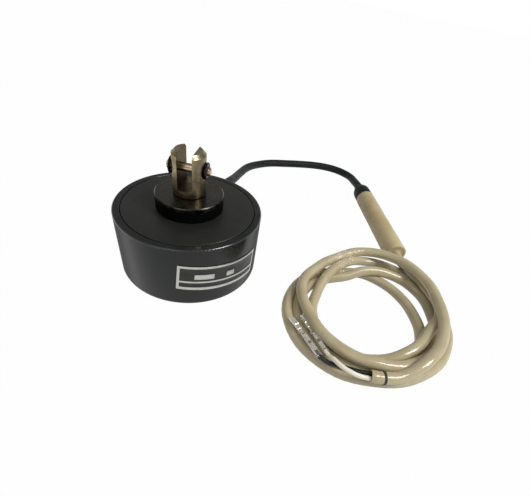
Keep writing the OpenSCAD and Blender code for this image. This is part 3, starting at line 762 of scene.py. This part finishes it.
# %% Define what patterns do
def screen(red, green, blue):
    """A colour as it is read off a screen, 0 to 255, made linear for the shader."""
    values = [c / 255 for c in (red, green, blue)]
    return tuple(v / 12.92 if v <= 0.04045 else ((v + 0.055) / 1.055) ** 2.4 for v in values) + (1.0,)


def colours(tree, pattern, stops, socket):
    """Runs a pattern through colour stops, each (position, screen colour), into a socket."""
    ramp = tree.nodes.new("ShaderNodeValToRGB")
    while len(ramp.color_ramp.elements) < len(stops):
        ramp.color_ramp.elements.new(0.5)
    for element, (position, colour) in zip(ramp.color_ramp.elements, stops):
        element.position = position
        element.color = screen(*colour)
    tree.links.new(pattern, ramp.inputs["Fac"])
    tree.links.new(ramp.outputs["Color"], socket)


def mottle(tree, shader, pattern, dark, light, light_from=0.7):
    """Lets a pattern vary the base colour between two screen colours."""
    colours(tree, pattern, [(0.3, dark), (light_from, light)], shader.inputs["Base Color"])


def roughen(tree, shader, pattern, low, high):
    """Lets a pattern vary the roughness between two values."""
    tree.links.new(ranged(tree, pattern, low, high), shader.inputs["Roughness"])


def relief(tree, shader, *layers):
    """Bump from one or more (pattern, height in mm) layers, one over the other."""
    normal = None
    for pattern, height in layers:
        bump = tree.nodes.new("ShaderNodeBump")
        bump.inputs["Strength"].default_value = 1.0
        bump.inputs["Distance"].default_value = height * MM
        tree.links.new(pattern, bump.inputs["Height"])
        if normal is not None:
            tree.links.new(normal, bump.inputs["Normal"])
        normal = bump.outputs["Normal"]
    tree.links.new(normal, shader.inputs["Normal"])


def dress(material, *names):
    """Puts a finish on CAD nodes or pieces."""
    for name in names:
        data = bpy.data.objects[name].data
        data.materials.clear()
        data.materials.append(material)
    print(material.name, "on", ", ".join(names))


def dress_both(piece, first, second):
    """Fills the two slots of a piece that was given them."""
    piece.data.materials[0] = first
    piece.data.materials[1] = second
    print(first.name, "and", second.name, "on", piece.name)


# %% [markdown]
# ## Paint of the case
#
# The steel pot is sprayed a glossy dark grey with a touch of blue. Sprayed paint is never quite flat: it has a
# faint ripple called orange peel, dust under the gloss and patches that handling has dulled. Two sizes of
# noise make the ripple and the dull patches. A smooth coat turns into a mirror where it is seen at a slant.
# This one hardly does, so it gets duller there: Layer Weight tells how far a surface faces away. The rounded
# edge at the top is rubbed bright and gets a clear coat. It is found by adding the distance from the axis and
# the height, which is largest there.

# %% Paint the case
RIM_START, RIM_FULL = 87.0, 87.4


def dull_aslant(tree, shader, pattern, low, high, aslant):
    """Roughness from a pattern, which rises where the surface is seen at a slant."""
    facing = tree.nodes.new("ShaderNodeLayerWeight").outputs["Facing"]
    slant = ranged(tree, facing, 0.1, aslant, from_low=0.5, from_high=0.8)
    duller = math_node(tree, "MAXIMUM", ranged(tree, pattern, low, high), slant)
    tree.links.new(duller, shader.inputs["Roughness"])


case_paint, tree, shader, place = start_finish("case_paint", Roughness=0.18, Specular_IOR_Level=0.27,
                                               Coat_Roughness=0.1)
mottle(tree, shader, blots(tree, place, 18), (25, 27, 27), (33, 34, 34))
dull_aslant(tree, shader, blots(tree, place, 9, 5), 0.12, 0.28, aslant=0.62)
relief(tree, shader, (blots(tree, place, 1.8, 2), 0.006), (blots(tree, place, 0.35, 2), 0.0015))
out_and_up = math_node(tree, "ADD", axis_distance(tree, place), coordinate(tree, place, "Z"))
tree.links.new(ranged(tree, out_and_up, 0.0, 1.0, RIM_START * MM, RIM_FULL * MM), shader.inputs["Coat Weight"])
dress(case_paint, "case")

# %% [markdown]
# ## Front plate
#
# The plate in the rim has the same colour, sprayed thinner and rubbed to a satin sheen. It is dull, so noise
# goes mainly into the roughness, with a fine grain in the bump.

# %% Paint the front plate
plate_paint, tree, shader, place = start_finish("plate_paint", Roughness=0.42, Specular_IOR_Level=0.3)
mottle(tree, shader, blots(tree, place, 22, 4), (29, 30, 26), (36, 37, 33))
roughen(tree, shader, blots(tree, place, 6, 5), 0.36, 0.5)
relief(tree, shader, (blots(tree, place, 0.5, 3), 0.004))
dress(plate_paint, "front_plate")

# %% [markdown]
# ## Metal of the rating plate
#
# The bare faces are brushed aluminium, so long thin noise along the strip goes into the colour and the bump.
# The etched ground between them is a dark lacquer with a fine grain. The strip was cut with two empty slots
# for them, so the bare faces already know which finish is theirs.

# %% Finish the rating plate
bare_metal, tree, shader, place = start_finish("bare_metal", Metallic=1.0, Roughness=0.34)
brushed = blots(tree, stretched(tree, place, (0.5, 0.5, 6)), 1.5, 5)
mottle(tree, shader, brushed, (172, 172, 166), (205, 205, 199))
roughen(tree, shader, blots(tree, place, 3, 4), 0.28, 0.46)
relief(tree, shader, (brushed, 0.004))

etched_ground, tree, shader, place = start_finish("etched_ground", Roughness=0.4, Specular_IOR_Level=0.3)
mottle(tree, shader, blots(tree, place, 4, 5), (32, 33, 32), (46, 47, 45))
roughen(tree, shader, blots(tree, place, 2, 4), 0.34, 0.5)
relief(tree, shader, (blots(tree, place, 0.3, 3), 0.006))
dress_both(rating_plate, etched_ground, bare_metal)

# %% [markdown]
# ## Rubber
#
# The cushion is a cut ring of dense black rubber and nearly swallows the light. The same black is painted shade
# on the ring in the groove. The grommet and the boot are moulded and a little greyer, and so is the sheath of
# the lead, which has a slight sheen.

# %% Make the rubbers
cushion_rubber_and_groove_shade, tree, shader, place = start_finish("cushion_rubber_and_groove_shade", Roughness=0.85, Specular_IOR_Level=0.03)
mottle(tree, shader, blots(tree, place, 3, 4), (2, 3, 3), (6, 8, 8), light_from=0.75)
relief(tree, shader, (blots(tree, place, 0.4, 3), 0.02))
# the ring in the groove gets this black as painted shade
dress(cushion_rubber_and_groove_shade, "cushion_ring", "groove_shade_ring")

lead_rubber, tree, shader, place = start_finish("lead_rubber", Roughness=0.5, Specular_IOR_Level=0.16)
mottle(tree, shader, blots(tree, place, 5, 4), (21, 24, 24), (32, 35, 35))
roughen(tree, shader, blots(tree, place, 2.5, 4), 0.42, 0.62)
relief(tree, shader, (blots(tree, place, 0.6, 3), 0.012))
dress(lead_rubber, "lead_grommet", "moulded_boot", "black_lead")

# %% [markdown]
# ## Dark steel of the flange and the rings
#
# The flange is turned from steel and blackened. The lathe leaves rings about its axis, and the dark coat on
# top is smooth enough to mirror the head. A ring-shaped wave with a pitch of a quarter of a millimetre gives
# the turned look. The broken edge is painted darker, as painted shade over the bright line it would mirror.
# The two retaining rings are blackened spring steel, duller and with fine grain.

# %% Blacken the flange and the rings
EDGE_START, EDGE_FULL = 19.9, 20.2
flange_steel, tree, shader, place = start_finish("flange_steel", Metallic=1.0, Roughness=0.2)
# painted shade: the colour darkens towards the broken edge
painted_edge_shade = ranged(tree, axis_distance(tree, place), 0.0, 0.4, EDGE_START * MM, EDGE_FULL * MM)
colours(tree, math_node(tree, "SUBTRACT", blots(tree, place, 6, 4), painted_edge_shade),
        [(0.05, (30, 29, 26)), (0.3, (72, 70, 64)), (0.7, (86, 83, 76))], shader.inputs["Base Color"])
roughen(tree, shader, blots(tree, place, 3, 5), 0.2, 0.34)
relief(tree, shader, (lines(tree, place, 0.25, "RINGS", wobble=0.4), 0.0006))
dress(flange_steel, "stop_flange")

ring_steel, tree, shader, place = start_finish("ring_steel", Metallic=1.0, Roughness=0.4)
mottle(tree, shader, blots(tree, place, 1.5, 4), (30, 29, 28), (52, 50, 48))
relief(tree, shader, (blots(tree, place, 0.3, 3), 0.004))
dress(ring_steel, "snap_ring_left", "snap_ring_right")

# %% [markdown]
# ## Nickel of the forked head, steel of the pin
#
# The head is turned, slotted and given a nickel plating, and years of use have left it brownish. Plating evens
# out the turning marks, so only a weak band pattern along Z is left of them, over a slow ripple. Painted shade
# darkens the head towards its foot and lightens it towards the top, and darkens the two walls of the slot much
# more; the walls are found by their distance from the middle. The pin is ground steel with warmer colour, and
# its grinding lines run round the X axis.

# %% Plate the head and grind the pin
SLOT_HALF = 4.3
WALL_NEAR = 0.06
HEAD_FOOT, HEAD_TOP = 52.4, 77.9
nickel, tree, shader, place = start_finish("nickel", Metallic=1.0, Roughness=0.28,
                                           Specular_Tint=screen(235, 227, 212))
# painted shade: darker towards the foot, lighter towards the top
painted_shade_by_height = ranged(tree, coordinate(tree, place, "Z"), -0.22, 0.16, HEAD_FOOT * MM, HEAD_TOP * MM)
blots_and_painted_shade = math_node(tree, "ADD", blots(tree, place, 5, 5), painted_shade_by_height)
from_middle = math_node(tree, "ABSOLUTE", coordinate(tree, place, "X"))
# the two walls of the slot get the darker colours below as painted shade
plating_or_wall_shade = tree.nodes.new("ShaderNodeMix")
plating_or_wall_shade.data_type = "RGBA"
tree.links.new(math_node(tree, "COMPARE", from_middle, SLOT_HALF * MM, WALL_NEAR * MM), plating_or_wall_shade.inputs["Factor"])
colours(tree, blots_and_painted_shade, [(0.25, (104, 94, 73)), (0.55, (142, 132, 108)), (0.8, (172, 162, 138))],
        plating_or_wall_shade.inputs["A"])
colours(tree, blots_and_painted_shade, [(0.25, (54, 46, 34)), (0.8, (82, 73, 57))], plating_or_wall_shade.inputs["B"])
tree.links.new(plating_or_wall_shade.outputs["Result"], shader.inputs["Base Color"])
roughen(tree, shader, blots(tree, stretched(tree, place, (1, 1, 6)), 3, 3), 0.27, 0.38)
relief(tree, shader, (blots(tree, place, 4, 1), 0.01), (lines(tree, place, 0.3, wobble=0.6), 0.0002))
dress(nickel, "clevis")

pin_steel, tree, shader, place = start_finish("pin_steel", Metallic=1.0, Roughness=0.24)
mottle(tree, shader, blots(tree, place, 3, 5), (176, 152, 126), (204, 184, 156))
relief(tree, shader, (blots(tree, stretched(tree, place, (1, 0.15, 0.15)), 0.2, 3), 0.002))
dress(pin_steel, "clevis_pin")

# %% [markdown]
# ## Sheath of the cord
#
# The cord has a glossy PVC sheath the colour of old ivory, duller at a slant like the paint. At the back of
# the coil it was knotted once, and its skin still has crumples there; their highest peaks are painted
# near-white as painted glints. The noise for them is multiplied by a value that falls off with the distance
# from that place. The hollow of the cut end is filled with dark fibre.

# %% Make the sheath
KNOT_PLACE = Vector((105, 20, 8))
KNOT_REACH = 24
sheath, tree, shader, place = start_finish("beige_sheath", Roughness=0.24, Specular_IOR_Level=0.6)
dull_aslant(tree, shader, blots(tree, place, 6, 4), 0.12, 0.26, aslant=0.6)
from_knot = tree.nodes.new("ShaderNodeVectorMath")
from_knot.operation = "DISTANCE"
from_knot.inputs[1].default_value = KNOT_PLACE * MM
tree.links.new(place, from_knot.inputs[0])
at_knot = ranged(tree, from_knot.outputs["Value"], 1.0, 0.0, 0.5 * KNOT_REACH * MM, KNOT_REACH * MM)
crumples_and_glints = math_node(tree, "MULTIPLY", at_knot, blots(tree, place, 1.3, 2))
# painted glints: the highest crumples turn near-white in the colour
painted_glints = ranged(tree, crumples_and_glints, 0.0, 0.5, from_low=0.56, from_high=0.66)
colours(tree, math_node(tree, "ADD", blots(tree, place, 14, 5), painted_glints),
        [(0.3, (173, 160, 126)), (0.7, (192, 179, 146)), (0.95, (244, 240, 226))], shader.inputs["Base Color"])
relief(tree, shader, (blots(tree, place, 7, 2), 0.08), (crumples_and_glints, 0.6))
dress(sheath, "coiled_cord")

filler, tree, shader, place = start_finish("filler", Roughness=0.8)
mottle(tree, shader, blots(tree, place, 1, 4), (40, 35, 27), (66, 58, 45))
relief(tree, shader, (blots(tree, place, 0.5, 3), 0.1))
dress_both(sheath_end, sheath, filler)

# %% [markdown]
# ## Sleeve, wires and marker band
#
# The sleeve over the splice is softer, thicker and duller than the cord, with faint stains. The two wires have
# clean insulation, and the marker band is dull ink.

# %% Make the other plastics
sleeve_pvc, tree, shader, place = start_finish("sleeve_pvc", Roughness=0.5)
colours(tree, blots(tree, place, 26, 4),
        [(0.28, (172, 154, 113)), (0.5, (189, 172, 130)), (0.72, (200, 185, 145))], shader.inputs["Base Color"])
roughen(tree, shader, blots(tree, place, 5, 4), 0.4, 0.6)
relief(tree, shader, (blots(tree, place, 4, 3), 0.06), (blots(tree, place, 0.7, 3), 0.01))
dress(sleeve_pvc, "soft_sleeve")

for name, dark, light in [("black_wire", (14, 16, 18), (28, 30, 32)),
                          ("white_wire", (226, 218, 196), (243, 237, 219))]:
    skin, tree, shader, place = start_finish(name, Roughness=0.3)
    mottle(tree, shader, blots(tree, place, 4, 4), dark, light)
    roughen(tree, shader, blots(tree, place, 2, 3), 0.25, 0.42)
    relief(tree, shader, (blots(tree, place, 1.2, 2), 0.01))
    dress(skin, name)

band_ink, tree, shader, place = start_finish("marker_band", Roughness=0.6)
mottle(tree, shader, blots(tree, place, 1.5, 4), (26, 25, 24), (48, 45, 41), light_from=0.75)
relief(tree, shader, (blots(tree, place, 0.5, 3), 0.01))
dress(band_ink, "marker_band")

# %% [markdown]
# ## Contacts and their covers
#
# The contacts are tinned sheet metal, bright with a soft grain. The floors of the crimps get a dark, dull
# finish that is painted shade. Clear sleeves are pushed over the crimps. The plastic is thin and slightly
# cloudy: most of what is behind shows through, and the rest is pale and shiny. A low value for Alpha does that,
# with noise in it for the clouds.

# %% Tin the contacts and clear the covers
tin, tree, shader, place = start_finish("tin", Metallic=0.6, Roughness=0.26)
mottle(tree, shader, blots(tree, place, 1.2, 4), (196, 190, 175), (234, 230, 220))
roughen(tree, shader, blots(tree, place, 0.8, 4), 0.12, 0.28)
relief(tree, shader, (blots(tree, place, 1.5, 2), 0.015))

# painted shade on the floors of the crimps
painted_shade_tin, tree, shader, place = start_finish("painted_shade_tin", Metallic=0.5, Roughness=0.5)
mottle(tree, shader, blots(tree, place, 1, 4), (52, 48, 36), (86, 80, 63))
relief(tree, shader, (blots(tree, place, 0.6, 3), 0.03))
for contact in (contact_black, contact_white):
    dress_both(contact, tin, painted_shade_tin)

clear_pvc, tree, shader, place = start_finish("clear_pvc", Roughness=0.15, IOR=1.45)
mottle(tree, shader, blots(tree, place, 2, 3), (196, 192, 176), (226, 223, 210))
roughen(tree, shader, blots(tree, place, 1.5, 3), 0.1, 0.28)
tree.links.new(ranged(tree, blots(tree, place, 3, 3), 0.04, 0.14), shader.inputs["Alpha"])
relief(tree, shader, (blots(tree, place, 2.5, 2), 0.05))
dress(clear_pvc, "terminal_cover_black", "terminal_cover_white")

# %% [markdown]
# ## Pieces inside the case
#
# The inside shows only when the case is opened, but it gets real finishes too: turned steel, drawn brass,
# a winding of fine copper wire, wrapped tape and moulded nylon.

# %% Finish the inside
machined, tree, shader, place = start_finish("machined_steel", Metallic=1.0, Roughness=0.3)
mottle(tree, shader, blots(tree, place, 6, 4), (112, 112, 110), (146, 146, 143))
relief(tree, shader, (lines(tree, place, 0.3, wobble=0.5), 0.002))
dress(machined, "plunger", "fixed_core", "core_screw")

brass, tree, shader, place = start_finish("brass_tube", Metallic=1.0, Roughness=0.25)
mottle(tree, shader, blots(tree, place, 8, 4), (205, 172, 98), (224, 194, 122))
relief(tree, shader, (blots(tree, stretched(tree, place, (1, 1, 0.1)), 0.3, 3), 0.003))
dress(brass, "guide_tube")

copper, tree, shader, place = start_finish("copper_winding", Metallic=1.0, Roughness=0.3)
mottle(tree, shader, blots(tree, place, 4, 4), (168, 92, 54), (206, 124, 76))
relief(tree, shader, (lines(tree, place, 0.5, wobble=0.2), 0.12))
dress(copper, "winding")

tape, tree, shader, place = start_finish("yellow_tape", Roughness=0.35)
mottle(tree, shader, blots(tree, place, 10, 4), (196, 166, 62), (214, 188, 84))
relief(tree, shader, (blots(tree, place, 3, 3), 0.05))
dress(tape, "winding_tape")

nylon, tree, shader, place = start_finish("bobbin_nylon", Roughness=0.45)
mottle(tree, shader, blots(tree, place, 8, 4), (222, 216, 196), (234, 229, 212))
relief(tree, shader, (blots(tree, place, 0.6, 3), 0.006))
dress(nylon, "bobbin")

# %% [markdown]
# ## What the cords are
#
# The lead runs from the grommet to the splice, the cord from the splice to its cut end, and each wire from
# there to its contact.

# %% [markdown]
# ## Last update
#
# The view layer is updated once more at the end.

# %% Update the scene
bpy.context.view_layer.update()
